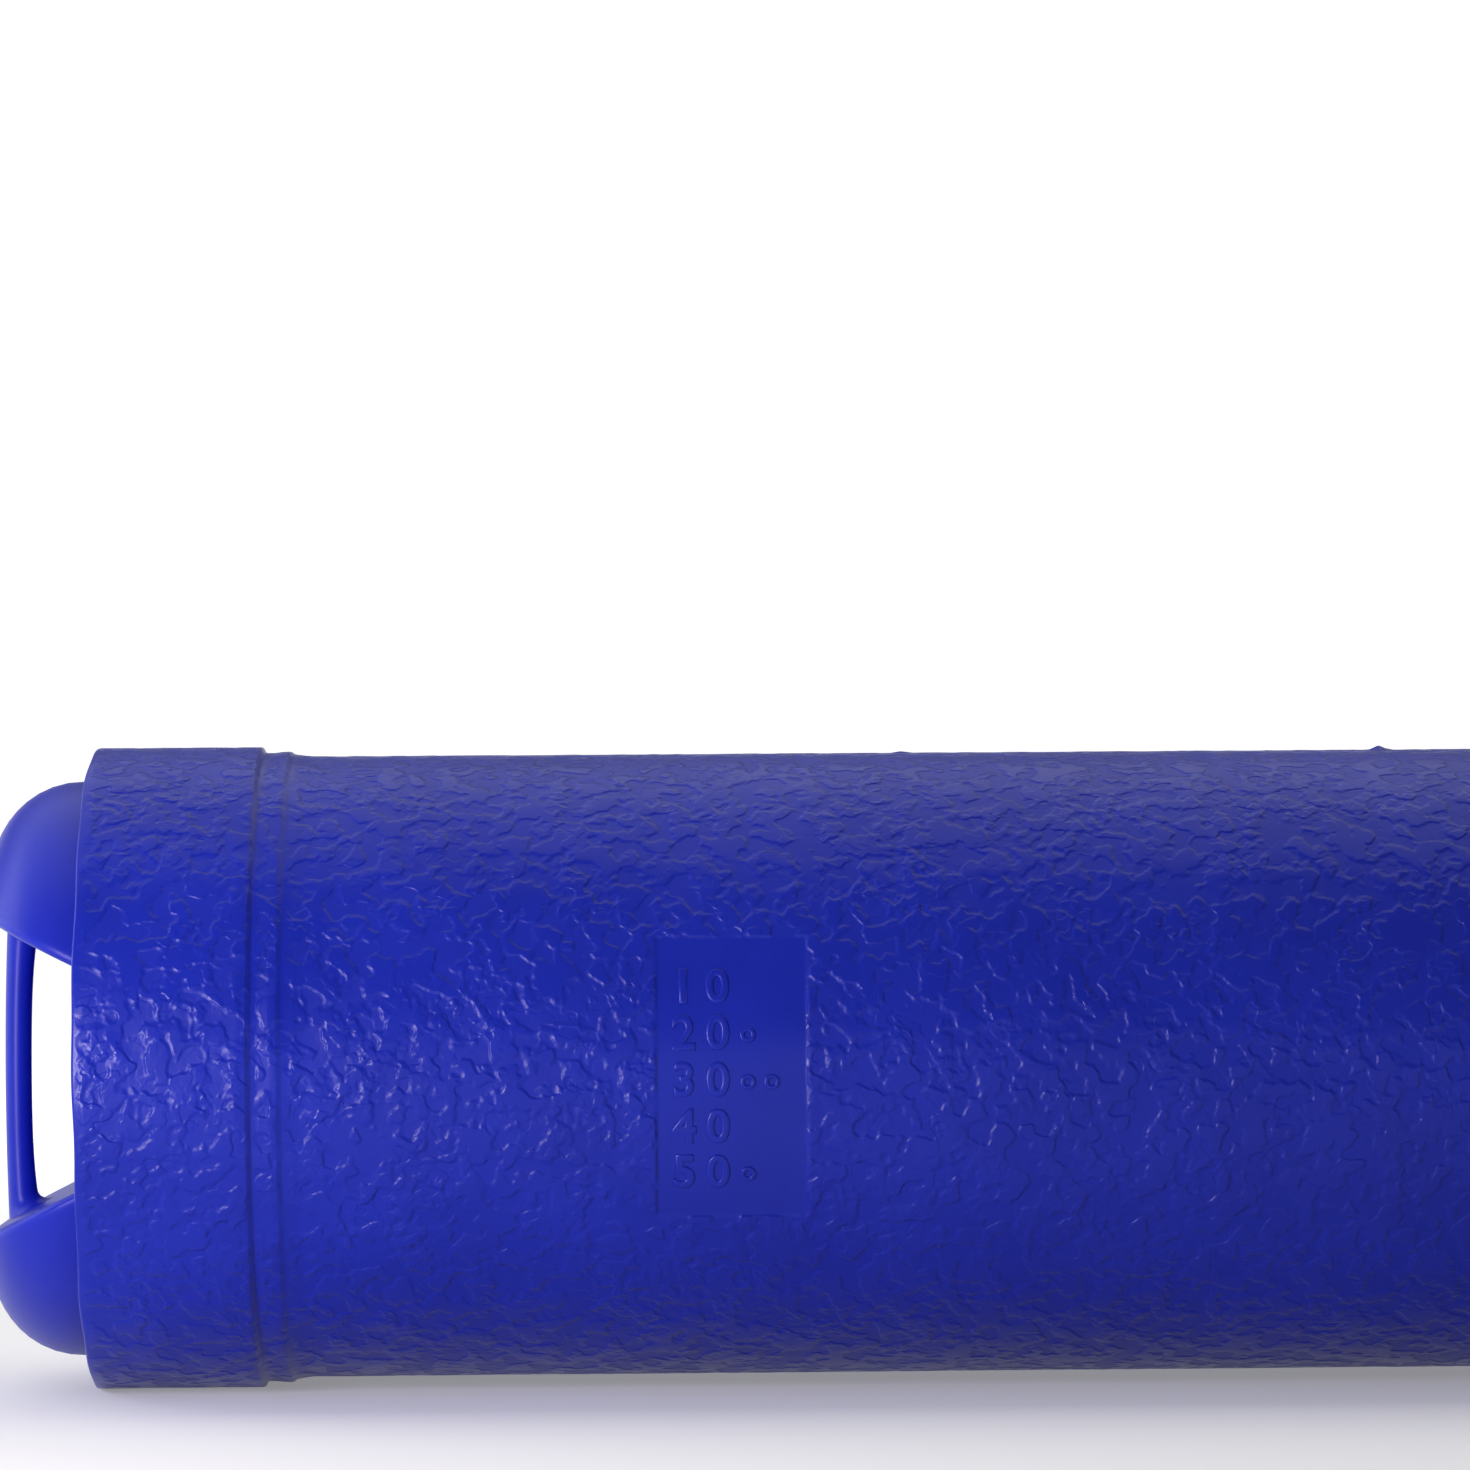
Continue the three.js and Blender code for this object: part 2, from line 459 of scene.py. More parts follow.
        share = np.linspace(0.0, 1.0, self.notch_columns)[1:] ** 1.5
        way = start + (outline_way[-1] - start) * share
        depth = np.hstack([dome_depth, np.interp(way, outline_way, outline_depth)])
        up = np.hstack([dome_height, np.interp(way, outline_way, outline_height)])
        depth = np.hstack([depth, depth[:, -2::-1]])
        up = np.hstack([up, -up[:, -2::-1]])
        return np.stack([depth, np.broadcast_to(across, depth.shape), up])

    def settle(self, points: Array, rounds: int = 14, probe: float = 0.002 * MM) -> tuple[Array, Array]:
        """Slide points onto the rounded surface along the gradient of end_distance.

        Args:
            points: Depth, across and up, in an array whose first axis has length 3.
            rounds: How many Newton steps to take.
            probe: The half step of the central differences that give the gradient.

        Returns:
            The settled points, and the unit normals there.
        """
        steps = probe * np.eye(3).reshape(3, 3, *([1] * (points.ndim - 1)))
        for _ in range(rounds):
            ahead = [self.end_distance(*(points + step)) for step in steps]
            behind = [self.end_distance(*(points - step)) for step in steps]
            slope = (np.stack(ahead) - np.stack(behind)) / (2 * probe)
            length = np.sqrt((slope**2).sum(axis=0)).clip(0.2)
            points = points - self.end_distance(*points) * slope / length**2
        return points, slope / length

    def build_grip_end(self) -> bpy.types.Object:
        """Build the closed end: the notched dome's outer side, its inner side a wall away, and the bar."""
        piece = MeshPiece(f"{self.name}_grip_end")
        sheet, normal = self.settle(self.end_sheet())
        lining = sheet - WALL * normal
        faces = grid_faces(sheet.shape[1], sheet.shape[2])
        piece.add(self.from_end(sheet), faces)
        piece.add(self.from_end(lining), faces[:, ::-1])
        ring_faces = grid_faces(2, sheet.shape[1])
        top = np.stack([self.from_end(lining)[:, 0], self.from_end(sheet)[:, 0]])
        bottom = np.stack([self.from_end(lining)[:, -1], self.from_end(sheet)[:, -1]])
        piece.add(top, ring_faces[:, ::-1])
        piece.add(bottom, ring_faces)
        bar = np.stack(self.bar.surface(self.notch))
        piece.add(self.from_end(bar), grid_faces(bar.shape[1], bar.shape[2], closed=True))
        return piece.build()

    def from_end(self, points: Array) -> Array:
        """Place points that are given as depth, across and up, with the three on the first axis."""
        depth, across, up = points
        return self.place(self.length - depth, across, up)


@dataclass
class OuterTube(BlownSection):
    """The outer tube: a collar and a low bead behind its mouth, and a smooth panel for the marks."""

    collar_radius: float = 46.36 * MM
    collar_end: float = 23.9 * MM
    step_run: float = 0.6 * MM
    groove_radius: float = 45.5 * MM
    bead_rise: float = 0.2 * MM
    bead_station: float = 27.5 * MM
    bead_end: float = 28.1 * MM
    tail_rise: float = 0.32 * MM
    tail_end: float = 31.4 * MM
    panel_start: float = 80.4 * MM
    panel_end: float = 101.3 * MM
    panel_half_angle: float = math.radians(25.6)
    panel_depth: float = 0.22 * MM
    panel_edge: float = 0.5 * MM
    seam_rise: float = 0.1 * MM
    seam_half_width: float = 0.35 * MM
    nubs: tuple[tuple[float, float], ...] = ((116.7 * MM, 0.25 * MM), (186.5 * MM, 0.6 * MM))
    nub_half_length: float = 0.9 * MM
    nub_half_width: float = 0.7 * MM
    fine_end: float = 215.0 * MM

    def wall_stations(self) -> Array:
        """Give the stations of the wall's rings, closest in the stretch with the collar and the panel."""
        rim = self.rim_round * RIM_SHARES
        steps = (self.collar_end + 0.5 * self.step_run, self.bead_end + 0.5 * self.step_run)
        crisp = (*steps, self.panel_start, self.panel_end, *(place for place, _ in self.nubs))
        fine = stops(self.rim_round, self.fine_end, 1.15 * MM, crisp, 0.5 * MM)
        coarse = stops(self.fine_end, self.length - self.grip_length, 2.5 * MM)
        return np.concatenate([rim, fine, coarse[1:]])

    def wall_angles(self) -> Array:
        """Give the angles of the wall's lines, with close ones at the panel's edges and the seams."""
        front = -math.pi / 2
        crisp = (front - self.panel_half_angle, front + self.panel_half_angle, 0.0)
        return stops(-math.pi, math.pi, math.pi / 144, crisp, 0.5 * MM / self.radius)[:-1]

    def on_panel(self, station: Array, angle: Array) -> Array:
        """Give 1 on the marks panel and 0 off it, with a quick change at its edges."""
        half_edge = 0.5 * self.panel_edge
        off = np.abs(angle + math.pi / 2) * self.radius - self.panel_half_angle * self.radius
        along = smooth_step(station, self.panel_start - half_edge, self.panel_start + half_edge)
        along = along * smooth_step(station, self.panel_end + half_edge, self.panel_end - half_edge)
        return along * smooth_step(off, half_edge, -half_edge)

    def side_radius(self, station: Array, angle: Array) -> Array:
        """Give the outer radius: body, groove and collar in steps, with bead, panel, seams and nubs."""
        radius = np.full(np.broadcast(station, angle).shape, self.radius)
        tail = 1.0 - smooth_step(station, self.bead_end, self.tail_end)
        radius += self.tail_rise * tail
        step = 1.0 - smooth_step(station, self.bead_end, self.bead_end + self.step_run)
        radius += (self.groove_radius - self.radius - self.tail_rise) * step
        radius += self.bead_rise * bell(station, self.bead_station, 0.9 * MM)
        step = 1.0 - smooth_step(station, self.collar_end, self.collar_end + self.step_run)
        radius += (self.collar_radius - self.groove_radius) * step
        radius -= self.panel_depth * self.on_panel(station, angle)
        seam = bell(angle * self.radius, 0.0, self.seam_half_width)
        seam += bell((np.abs(angle) - math.pi) * self.radius, 0.0, self.seam_half_width)
        radius += self.seam_rise * seam * smooth_step(station, self.collar_end, self.tail_end)
        across = bell(angle * self.radius, 0.0, self.nub_half_width)
        for place, rise in self.nubs:
            radius += rise * bell(station, place, self.nub_half_length) * across
        return radius

    def grain_cover(self, station: Array, angle: Array) -> Array:
        """Give the grain's strength: none on the rim and the panel, and faint at the foot of each step."""
        groove = bell(station, self.collar_end + self.step_run, 0.8 * MM)
        groove = groove + bell(station, self.bead_end + self.step_run, 0.8 * MM)
        rim = smooth_step(station, 0.3 * MM, 2.0 * MM)
        body = super().grain_cover(station, angle)
        return rim * body * (1.0 - 0.85 * groove) * (1.0 - self.on_panel(station, angle))

    def bore_stations(self) -> Array:
        """Give the stations of the bore's rings, which follow the collar's steps."""
        steps = [self.collar_end, self.collar_end + self.step_run]
        steps += [self.bead_end, self.bead_end + self.step_run, self.tail_end]
        return np.array([0.0, self.rim_round, 4.0 * MM, *steps, 90.0 * MM, 200.0 * MM])


@dataclass
class InnerTube(BlownSection):
    """The inner tube: a lip ring at its open mouth and a guide ring further along its wall."""

    lip_radius: float = 42.9 * MM
    lip_length: float = 8.5 * MM
    lip_step: float = 1.2 * MM
    guide_start: float = 170.0 * MM
    guide_step: float = 0.9 * MM
    guide_land: float = 6.0 * MM
    guide_taper: float = 28.0 * MM
    guide_radius: float = 42.7 * MM
    bore_land: float = 7.0 * MM
    bore_taper_end: float = 205.0 * MM

    def wall_stations(self) -> Array:
        """Give the stations of the wall's rings, close at the lip ring's and the guide ring's steps."""
        rim = self.rim_round * RIM_SHARES
        crisp = (self.lip_length + 0.5 * self.lip_step, self.guide_start + 0.5 * self.guide_step)
        last = self.length - self.grip_length
        return np.concatenate([rim, stops(self.rim_round, last, 2.0 * MM, crisp, 0.6 * MM)])

    def side_radius(self, station: Array, angle: Array) -> Array:
        """Give the outer radius: the lip ring, the body, and the guide ring with its long taper."""
        lip = 1.0 - smooth_step(station, self.lip_length, self.lip_length + self.lip_step)
        taper_start = self.guide_start + self.guide_step + self.guide_land
        guide = smooth_step(station, self.guide_start, self.guide_start + self.guide_step)
        guide = guide * np.clip((taper_start + self.guide_taper - station) / self.guide_taper, 0.0, 1.0)
        radius = self.radius + (self.lip_radius - self.radius) * lip
        radius = radius + (self.guide_radius - self.radius) * guide
        return np.broadcast_to(radius, np.broadcast(station, angle).shape).copy()

    def grain_cover(self, station: Array, angle: Array) -> Array:
        """Give the grain's strength: none on the lip ring and towards the dome."""
        past_lip = smooth_step(station, self.lip_length, self.lip_length + 3.0 * MM)
        return past_lip * super().grain_cover(station, angle)

    def bore_stations(self) -> Array:
        """Give the stations of the bore's rings, which follow the lip ring's step."""
        lip = [self.lip_length, self.lip_length + self.lip_step]
        guide = [self.guide_start, self.guide_start + self.guide_step]
        guide += [self.guide_start + self.bore_land, self.bore_taper_end]
        return np.array([0.0, self.rim_round, *lip, *guide])


@dataclass
class PanelMarks:
    """Plain raised numerals and rings, in five rows on the outer tube's panel."""

    tube: OuterTube
    rows: tuple[tuple[str, int], ...] = (("10", 0), ("20", 1), ("30", 2), ("40", 0), ("50", 1))
    left: float = 82.3 * MM
    row_pitch: float = 6.5 * MM
    lowest_row: float = -13.2 * MM
    numeral_height: float = 5.0 * MM
    numeral_pitch: float = 4.7 * MM
    ring_height: float = 2.2 * MM
    ring_pitch: float = 3.3 * MM
    relief: float = 0.27 * MM
    name: str = "outer_tube_marks"

    def glyph(self, letter: str, height: float, along: float, middle: float) -> tuple[Array, list[list[int]]]:
        """Make one flat-backed raised character of the built-in font.

        Args:
            letter: The character.
            height: Its height once scaled.
            along: Where its middle goes along the tube.
            middle: Where its middle goes round the tube.

        Returns:
            Its vertices as station, arc and relief, and its faces.
        """
        curve = bpy.data.curves.new("glyph", "FONT")
        curve.body = letter
        curve.resolution_u = 4
        curve.offset = -0.02
        curve.extrude = 0.01
        curve.bevel_depth = 0.06
        curve.bevel_resolution = 3
        carrier = bpy.data.objects.new("glyph", curve)
        mesh = bpy.data.meshes.new_from_object(carrier)
        points = np.empty(3 * len(mesh.vertices))
        mesh.vertices.foreach_get("co", points)
        points = points.reshape(-1, 3)
        faces = [list(polygon.vertices) for polygon in mesh.polygons]
        bpy.data.objects.remove(carrier)
        bpy.data.curves.remove(curve)
        bpy.data.meshes.remove(mesh)
        low, high = points.min(axis=0), points.max(axis=0)
        centre = np.array([0.5 * (low[0] + high[0]), 0.5 * (low[1] + high[1]), low[2]])
        points = (points - centre) * (height / (high[1] - low[1]))
        points[:, :2] += (along, middle)
        points[:, 2] *= 2.0 * self.relief / points[:, 2].max()
        return points, faces

    def build(self) -> bpy.types.Object:
        """Set the characters in their rows and wrap them round the panel.

        Returns:
            The object, whose characters stand half sunk in the panel's floor.
        """
        points: list[Array] = []
        faces: list[list[int]] = []
        for row, (numerals, rings) in enumerate(reversed(self.rows)):
            middle = self.lowest_row + row * self.row_pitch
            letters = [(letter, self.numeral_height, self.numeral_pitch) for letter in numerals]
            letters += [("o", self.ring_height, self.ring_pitch)] * rings
            left = self.left
            for letter, height, pitch in letters:
                lift = 0.0 if height == self.numeral_height else -0.4 * MM
                glyph_points, glyph_faces = self.glyph(letter, height, left + 0.4 * pitch, middle + lift)
                start = sum(len(part) for part in points)
                faces.extend([[corner + start for corner in face] for face in glyph_faces])
                points.append(glyph_points)
                left += pitch
        station, arc, rise = np.concatenate(points).T
        floor = self.tube.radius - self.tube.panel_depth
        angle = arc / floor - math.pi / 2
        mesh = bpy.data.meshes.new(self.name)
        mesh.from_pydata(self.tube.turned(station, angle, floor - self.relief + rise), [], faces)
        mesh.update()
        mesh.shade_smooth()
        mesh.set_sharp_from_angle(angle=SHARP_ANGLE)
        piece = bpy.data.objects.new(self.name, mesh)
        bpy.context.collection.objects.link(piece)
        return piece


Socket = bpy.types.NodeSocket


class NodeDesk:
    """A node tree with short ways to add and join nodes."""

    def __init__(self, tree: bpy.types.NodeTree) -> None:
        """Take over a tree.

        Args:
            tree: The node tree that the nodes go into.
        """
        self.tree = tree

    def node(self, kind: str, settings: dict | None = None, **inputs: object) -> bpy.types.Node:
        """Add a node.

        Args:
            kind: Its Blender type name.
            settings: Its own properties, such as the operation.
            **inputs: A value or a socket for each input, by the input's name with _ for each space.

        Returns:
            The new node.
        """
        node = self.tree.nodes.new(kind)
        for key, value in (settings or {}).items():
            setattr(node, key, value)
        for key, value in inputs.items():
            self.feed(node.inputs[key.replace("_", " ")], value)
        return node

    def feed(self, socket: Socket, value: object) -> None:
        """Link a socket to an input, or set the input's own value."""
        if isinstance(value, bpy.types.NodeSocket):
            self.tree.links.new(value, socket)
        else:
            socket.default_value = value

    def maths(self, operation: str, *values: object) -> Socket:
        """Add a Math node for the operation and give its result."""
        node = self.tree.nodes.new("ShaderNodeMath")
        node.operation = operation
        for socket, value in zip(node.inputs, values):
            self.feed(socket, value)
        return node.outputs[0]

    def vector(self, operation: str, *values: object, scale: float | None = None) -> Socket:
        """Add a Vector Math node for the operation and give its vector result."""
        node = self.tree.nodes.new("ShaderNodeVectorMath")
        node.operation = operation
        for socket, value in zip(node.inputs, values):
            self.feed(socket, value)
        if scale is not None:
            node.inputs["Scale"].default_value = scale
        return node.outputs[0]

    def ramp(self, value: Socket, low: float, high: float, bottom: float = 0.0, top: float = 1.0) -> Socket:
        """Map low..high to bottom..top with smooth ends and give the result."""
        settings = {"interpolation_type": "SMOOTHSTEP"}
        node = self.node("ShaderNodeMapRange", settings, Value=value)
        for key, number in (("From Min", low), ("From Max", high), ("To Min", bottom), ("To Max", top)):
            node.inputs[key].default_value = number
        return node.outputs["Result"]


@dataclass(frozen=True)
class LeatherGrain:
    """The moulded leather grain: low ragged plateaus, with smaller ones on and between them."""

    pebble: float = 3.0 * MM
    fleck: float = 1.6 * MM
    edge: float = 0.065
    relief: float = 0.27 * MM
    mesh_relief: float = 0.07 * MM

    def plateaus(self, desk: NodeDesk, position: Socket, size: float, detail: float) -> Socket:
        """Add a noise field of the given size, cut off just below and above its middle value."""
        noise = desk.node("ShaderNodeTexNoise", Vector=position, Scale=1.0 / size, Detail=detail)
        noise.inputs["Roughness"].default_value = 0.5
        noise.inputs["Distortion"].default_value = 0.2
        return desk.ramp(noise.outputs[0], 0.5 - self.edge, 0.5 + self.edge)

    def height(self, desk: NodeDesk, position: Socket) -> Socket:
        """Add the nodes that work the grain's height out.

        The height is 0.68 of the large plateaus and 0.32 of the small ones. The small ones fade in
        and out with a third, broader noise field, so that no stretch looks like the next.

        Args:
            desk: The material's or the mesh's node tree.
            position: The socket that gives the place in metres.

        Returns:
            The height, from 0 in the hollows to 1 on the plateaus.
        """
        large = self.plateaus(desk, position, self.pebble, 1.4)
        small = self.plateaus(desk, position, self.fleck, 0.6)
        broad = desk.node("ShaderNodeTexNoise", Vector=position, Scale=0.4 / self.pebble, Detail=1.0)
        broad.inputs["Roughness"].default_value = 0.5
        flecks = desk.maths("MULTIPLY", small, desk.ramp(broad.outputs[0], 0.38, 0.68, 0.0, 0.32))
        return desk.maths("MULTIPLY_ADD", large, 0.68, flecks)

    def mesh_group(self) -> bpy.types.NodeTree:
        """Build the geometry nodes that sink the creases into a mesh along its normals."""
        tree = bpy.data.node_groups.new("Leather Grain Relief", "GeometryNodeTree")
        tree.interface.new_socket("Geometry", in_out="INPUT", socket_type="NodeSocketGeometry")
        tree.interface.new_socket("Geometry", in_out="OUTPUT", socket_type="NodeSocketGeometry")
        desk = NodeDesk(tree)
        source = desk.node("NodeGroupInput")
        height = self.height(desk, desk.node("GeometryNodeInputPosition").outputs[0])
        cover = desk.node("GeometryNodeInputNamedAttribute", {"data_type": "FLOAT"}, Name="grain")
        depth = desk.maths("MULTIPLY", desk.maths("SUBTRACT", height, 1.0), cover.outputs["Attribute"])
        normal = desk.node("GeometryNodeInputNormal").outputs[0]
        offset = self.scaled(desk, normal, desk.maths("MULTIPLY", depth, self.mesh_relief))
        moved = desk.node("GeometryNodeSetPosition", Geometry=source.outputs[0], Offset=offset)
        sink = desk.node("NodeGroupOutput")
        desk.feed(sink.inputs[0], moved.outputs[0])
        return tree

    @staticmethod
    def scaled(desk: NodeDesk, vector: Socket, factor: Socket) -> Socket:
        """Give the vector times the factor."""
        node = desk.tree.nodes.new("ShaderNodeVectorMath")
        node.operation = "SCALE"
        desk.feed(node.inputs[0], vector)
        desk.feed(node.inputs["Scale"], factor)
        return node.outputs[0]

    def emboss(self, piece: bpy.types.Object) -> None:
        """Press the grain into a piece's mesh and keep the result as plain vertices."""
        modifier = piece.modifiers.new("Grain", "NODES")
        modifier.node_group = self.mesh_group()
        pressed = bpy.data.meshes.new_from_object(piece.evaluated_get(bpy.context.evaluated_depsgraph_get()))
        piece.modifiers.clear()
        smooth, piece.data = piece.data, pressed
        bpy.data.meshes.remove(smooth)
        pressed.name = piece.name


def plastic_texture(grain: LeatherGrain) -> bpy.types.NodeTree:
    """Build the shader group that every plastic surface shares.

    Args:
        grain: The leather grain that covers the grained stretches.

    Returns:
        A group with the input Cover and the outputs Height, in metres, Crease and Mottle.
    """
    tree = bpy.data.node_groups.new("Blown Plastic Texture", "ShaderNodeTree")
    tree.interface.new_socket("Cover", in_out="INPUT", socket_type="NodeSocketFloat")
    for name in ("Height", "Crease", "Mottle"):
        tree.interface.new_socket(name, in_out="OUTPUT", socket_type="NodeSocketFloat")
    desk = NodeDesk(tree)
    cover = desk.node("NodeGroupInput").outputs["Cover"]
    position = desk.node("ShaderNodeTexCoord").outputs["Object"]
    height = grain.height(desk, position)
    crease = desk.maths("MULTIPLY", desk.maths("SUBTRACT", 1.0, height), cover)
    fine = desk.node("ShaderNodeTexNoise", Vector=position, Scale=1.0 / (1.1 * MM), Detail=2.0)
    fine.inputs["Roughness"].default_value = 0.55
    mapping = desk.node("ShaderNodeMapping", Vector=position, Scale=(1.0, 0.06, 0.06))
    streak = desk.node("ShaderNodeTexNoise", Vector=mapping.outputs[0], Scale=1.0 / (0.9 * MM), Detail=2.0)
    streak.inputs["Roughness"].default_value = 0.6
    bare = desk.maths("SUBTRACT", 1.0, cover)
    streaks = desk.maths("MULTIPLY", desk.maths("MULTIPLY", streak.outputs[0], bare), 0.02 * MM)
    pebbles = desk.maths("MULTIPLY", desk.maths("MULTIPLY", height, cover), grain.relief)
    skin = desk.maths("MULTIPLY", fine.outputs[0], desk.maths("MULTIPLY_ADD", cover, 0.03 * MM, 0.004 * MM))
    total = desk.maths("ADD", desk.maths("ADD", pebbles, skin), streaks)
    mottle = desk.node("ShaderNodeTexNoise", Vector=position, Scale=1.0 / (21.0 * MM), Detail=3.0)
    mottle.inputs["Roughness"].default_value = 0.6
    sink = desk.node("NodeGroupOutput")
    desk.feed(sink.inputs["Height"], total)
    desk.feed(sink.inputs["Crease"], crease)
    desk.feed(sink.inputs["Mottle"], mottle.outputs[0])
    return tree


@dataclass(frozen=True)
class BluePlastic:
    """Deep blue blown polyethylene, with its grain or without."""

    surface: Surface
    colour: tuple[float, float, float]
    mottled: tuple[float, float, float]
    smooth_roughness: float
    crease_roughness: float

    def build(self, texture: bpy.types.NodeTree) -> bpy.types.Material:
        """Build the material.

        Args:
            texture: The shader group from plastic_texture.

        Returns:
            The material, whose grain follows the mesh attribute "grain".
        """
        material = bpy.data.materials.new(self.surface.value)
        material.use_nodes = True
        tree = material.node_tree
        tree.nodes.clear()
        desk = NodeDesk(tree)
        cover = desk.node("ShaderNodeAttribute", {"attribute_name": "grain"}).outputs["Fac"]
        group = desk.node("ShaderNodeGroup", {"node_tree": texture}, Cover=cover)
        mottle = desk.ramp(group.outputs["Mottle"], 0.3, 0.7)
        colour = desk.node("ShaderNodeMix", {"data_type": "RGBA"})
        desk.feed(colour.inputs["Factor"], mottle)
        colour.inputs[MIX_COLOUR_A].default_value = (*self.colour, 1.0)
        colour.inputs[MIX_COLOUR_B].default_value = (*self.mottled, 1.0)
        roughness = desk.ramp(group.outputs["Crease"], 0.0, 1.0, self.smooth_roughness, self.crease_roughness)
        bump = desk.node("ShaderNodeBump", Strength=1.0, Distance=1.0, Height=group.outputs["Height"])
        plastic = desk.node("ShaderNodeBsdfPrincipled", Roughness=roughness, Normal=bump.outputs[0], IOR=1.5)
        plastic.inputs["Specular IOR Level"].default_value = 0.28
        desk.feed(plastic.inputs["Base Color"], colour.outputs[MIX_COLOUR_RESULT])
        output = desk.node("ShaderNodeOutputMaterial")
        desk.feed(output.inputs["Surface"], plastic.outputs[0])
        return material


@dataclass(frozen=True)
class Softbox:
    """One rectangular studio lamp."""

    name: str
    place: tuple[float, float, float]
    target: tuple[float, float, float]
    width: float
    height: float
    watts: float
    tint: tuple[float, float, float] = (1.0, 1.0, 1.0)

    def build(self) -> None:
        """Hang the lamp and turn it to its target."""
        lamp = bpy.data.lights.new(self.name, "AREA")
        lamp.shape = "RECTANGLE"
        lamp.size = self.width
        lamp.size_y = self.height
        lamp.energy = self.watts
        lamp.color = self.tint
        carrier = bpy.data.objects.new(self.name, lamp)
        carrier.location = self.place
        aim = Vector(self.target) - Vector(self.place)
        carrier.rotation_euler = aim.to_track_quat("-Z", "Y").to_euler()
        bpy.context.collection.objects.link(carrier)


@dataclass(frozen=True)
class Studio:
    """The white floor and the low white wall round it, the lamps and the camera."""

    mouth: float
    axis_height: float
    fill: float = 0.22
    white: float = 0.8
    # The floor's glow near the tube, kept below the glow far off: painted shade that leaves the floor darker
    # round the tube.
    lift: float = 0.25
    wall_distance: float = 12.0
    wall_height: float = 2.2
    wall_sides: int = 96
    distance: float = 0.85
    camera_rise: float = 39.8 * MM
    camera_along: float = 73.0 * MM
    focal_pixels: float = 5840.0
    yaw: float = math.radians(1.32)
    pitch: float = math.radians(0.53)
    roll: float = math.radians(0.38)

    def build_world(self) -> None:
        """Make surroundings that give a soft even fill."""
        world = bpy.data.worlds.new("soft_fill")
        bpy.context.scene.world = world
        world.use_nodes = True
        world.node_tree.nodes.clear()
        desk = NodeDesk(world.node_tree)
        background = desk.node("ShaderNodeBackground", Color=(1.0, 1.0, 1.0, 1.0), Strength=self.fill)
        output = desk.node("ShaderNodeOutputWorld")
        desk.feed(output.inputs["Surface"], background.outputs[0])

    def white_paper(self, name: str, colour: float, lift: float, far_lift: float) -> bpy.types.Material:
        """Make a matte white that looks lighter to the camera and in reflections than it lights.

        Args:
            name: The material's name.
            colour: How much of the light it scatters.
            lift: The glow near the tube, which only camera, glossy and transmission rays meet. Where it is
                below far_lift, as on the floor, the floor round the tube is painted darker: painted shade
                added to the real shadow.
            far_lift: The same far from the tube, where the stronger glow paints the floor whiter.

        Returns:
            The material.
        """
        material = bpy.data.materials.new(name)
        material.use_nodes = True
        material.node_tree.nodes.clear()
        desk = NodeDesk(material.node_tree)
        matte = desk.node("ShaderNodeBsdfDiffuse", Color=(colour, colour, colour, 1.0))
        path = desk.node("ShaderNodeLightPath")
        seen = desk.maths("MAXIMUM", path.outputs["Is Camera Ray"], path.outputs["Is Glossy Ray"])
        seen = desk.maths("MAXIMUM", seen, path.outputs["Is Transmission Ray"])
        place = desk.node("ShaderNodeTexCoord").outputs["Object"]
        away = desk.node("ShaderNodeVectorMath", {"operation": "LENGTH"})
        desk.feed(away.inputs[0], place)
        # The glow grows with distance from the middle of the set, so where lift is below far_lift the floor
        # round the tube is painted darker: painted shade on top of the real shadow.
        strength = desk.maths("MULTIPLY", seen, desk.ramp(away.outputs["Value"], 0.26, 0.75, lift, far_lift))
        glow = desk.node("ShaderNodeEmission", Color=(1.0, 1.0, 1.0, 1.0), Strength=strength)
        both = desk.tree.nodes.new("ShaderNodeAddShader")
        desk.feed(both.inputs[0], matte.outputs[0])
        desk.feed(both.inputs[1], glow.outputs[0])
        output = desk.node("ShaderNodeOutputMaterial")
        desk.feed(output.inputs["Surface"], both.outputs[0])
        return material

    def build_set(self) -> None:
        """Lay the white floor, which keeps the tube's shadow, and stand the low wall on its rim."""
        sides = self.wall_sides
        turn = np.linspace(0.0, 2.0 * math.pi, sides, endpoint=False)
        rim = np.stack([np.cos(turn), np.sin(turn), np.zeros(sides)], axis=-1) * self.wall_distance
        floor_mesh = bpy.data.meshes.new("floor")
        floor_mesh.from_pydata(rim, [], [list(range(sides))])
        # The floor glows at lift near the tube and 0.88 far off: painted shade round the tube. The wall glows
        # evenly.
        floor_mesh.materials.append(self.white_paper("white_floor", self.white, self.lift, 0.88))
        wall_mesh = bpy.data.meshes.new("backdrop")
        top = rim + (0.0, 0.0, self.wall_height)
        wall_faces = grid_faces(2, sides, closed=True)[:, ::-1]
        wall_mesh.from_pydata(np.concatenate([rim, top]), [], wall_faces.tolist())
        wall_mesh.materials.append(self.white_paper("white_wall", 0.5, 1.0, 1.0))
        for mesh in (floor_mesh, wall_mesh):
            piece = bpy.data.objects.new(mesh.name, mesh)
            bpy.context.collection.objects.link(piece)

    def build_lamps(self) -> None:
        """Hang the key lamp left of the mouth, one facing the inner tube's dome, and a wide one overhead."""
        target = (self.mouth + 0.05, 0.0, self.axis_height)
        key_place = (self.mouth - 0.12, -0.30, 0.078)
        Softbox("key_lamp", key_place, target, 0.045, 0.12, 0.65, (1.0, 0.89, 0.98)).build()
        Softbox("end_lamp", (self.mouth - 0.35, 0.06, 0.22), target, 0.3, 0.3, 0.6).build()
        below = (self.mouth + 0.12, 0.0, 0.0)
        Softbox("top_lamp", (self.mouth + 0.12, 0.3, 0.88), below, 1.8, 1.2, 5.3).build()

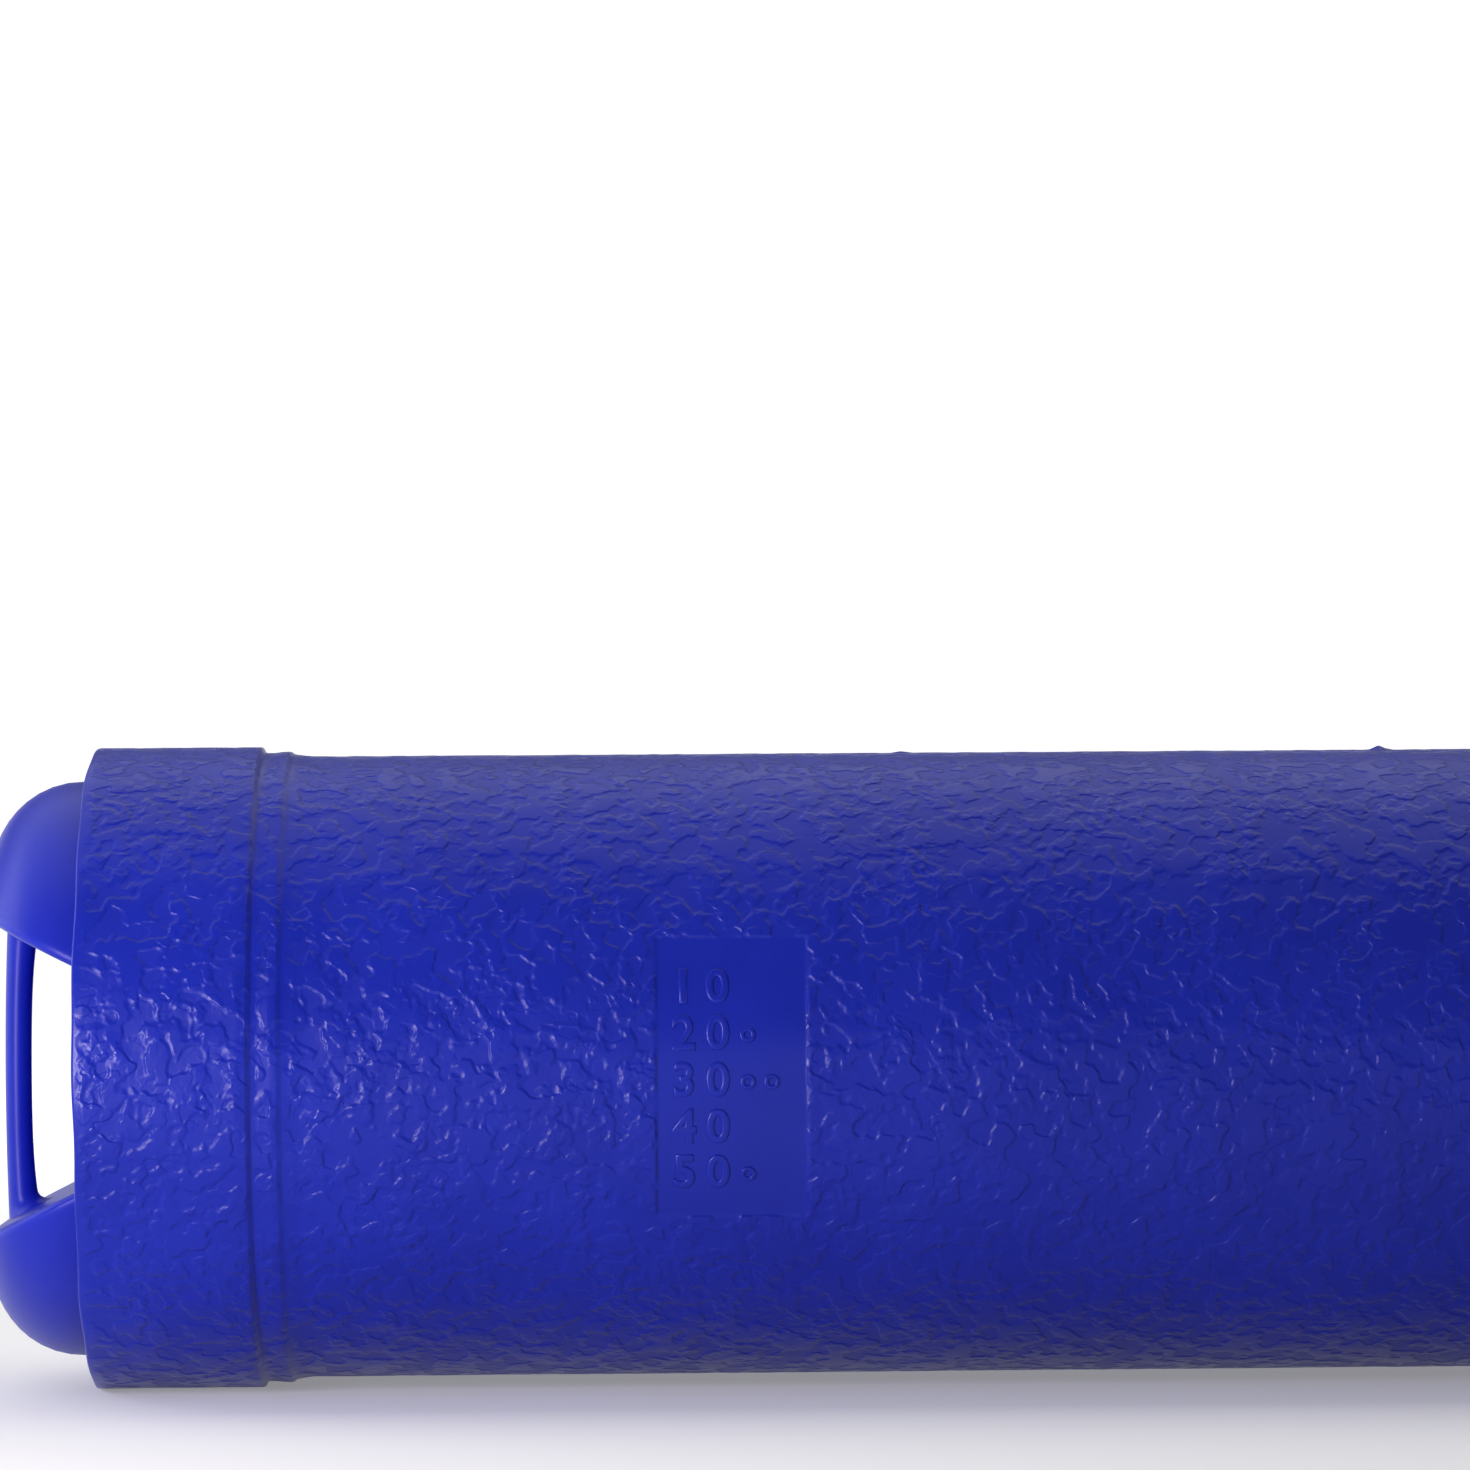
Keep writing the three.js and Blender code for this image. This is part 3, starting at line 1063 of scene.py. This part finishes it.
    def build_camera(self) -> None:
        """Set the camera level with the tube and a little above it, looking a shade upwards."""
        lens = bpy.data.cameras.new("camera")
        lens.sensor_width = 36.0
        lens.sensor_fit = "HORIZONTAL"
        lens.lens = self.focal_pixels / PHOTO_PIXELS * lens.sensor_width
        lens.clip_start = 0.05
        carrier = bpy.data.objects.new("camera", lens)
        place = Vector((self.mouth + self.camera_along, -self.distance, self.axis_height + self.camera_rise))
        turn = Matrix.Rotation(-self.yaw, 4, "Z") @ Matrix.Rotation(math.pi / 2 + self.pitch, 4, "X")
        carrier.matrix_world = Matrix.Translation(place) @ turn @ Matrix.Rotation(-self.roll, 4, "Z")
        bpy.context.collection.objects.link(carrier)
        bpy.context.scene.camera = carrier

    def build(self) -> None:
        """Build the whole studio and set the plain view transform."""
        self.build_world()
        self.build_set()
        self.build_lamps()
        self.build_camera()
        bpy.context.scene.view_settings.view_transform = "Standard"


def attach(
    piece: bpy.types.Object, section: BlownSection, material: bpy.types.Material
) -> None:
    """Tie a piece to the body that it moves with and give it its finish.

    Args:
        piece: The new piece.
        section: The section of the tube that it belongs to.
        material: The material that it shows.
    """
    piece.data.materials.clear()
    piece.data.materials.append(material)
    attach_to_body(piece, section.body)
    log.info("%s rides on %s with %d faces", piece.name, section.body, len(piece.data.polygons))


def main() -> None:
    """Build both sections, the marks and the studio from the boxes of the CAD parts."""
    logging.basicConfig(level=logging.INFO, format="%(name)s: %(message)s")
    outer_low, outer_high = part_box("outer_tube")
    inner_low, inner_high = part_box("inner_tube")
    axis_height = 0.5 * (outer_low[2] + outer_high[2])
    outer = OuterTube(
        name="outer_tube",
        node="outer_tube",
        body="outer_section",
        mouth=outer_low[0],
        direction=1,
        length=outer_high[0] - outer_low[0],
        radius=44.9 * MM,
        dome_radius=13.6 * MM,
        axis_height=axis_height,
    )
    inner = InnerTube(
        name="inner_tube",
        node="inner_tube",
        body="inner_section",
        mouth=inner_high[0],
        direction=-1,
        length=inner_high[0] - inner_low[0],
        radius=41.5 * MM,
        dome_radius=12.5 * MM,
        axis_height=axis_height,
    )
    grain = LeatherGrain()
    texture = plastic_texture(grain)
    finishes = {
        Surface.GRAINED: BluePlastic(Surface.GRAINED, (0.008, 0.022, 0.43), (0.006, 0.018, 0.38), 0.28, 0.4),
        Surface.SATIN: BluePlastic(Surface.SATIN, (0.011, 0.024, 0.48), (0.009, 0.021, 0.45), 0.38, 0.38),
    }
    materials = {surface: finish.build(texture) for surface, finish in finishes.items()}
    for section in (outer, inner):
        wall = section.build_wall()
        grain.emboss(wall)
        grip_end = section.build_grip_end()
        attach(wall, section, materials[Surface.GRAINED])
        attach(grip_end, section, materials[Surface.SATIN])
        for piece in (wall, grip_end):
            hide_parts(section.node)
    attach(PanelMarks(outer).build(), outer, materials[Surface.GRAINED])
    Studio(mouth=outer.mouth, axis_height=axis_height).build()


if __name__ == "__main__":
    main()
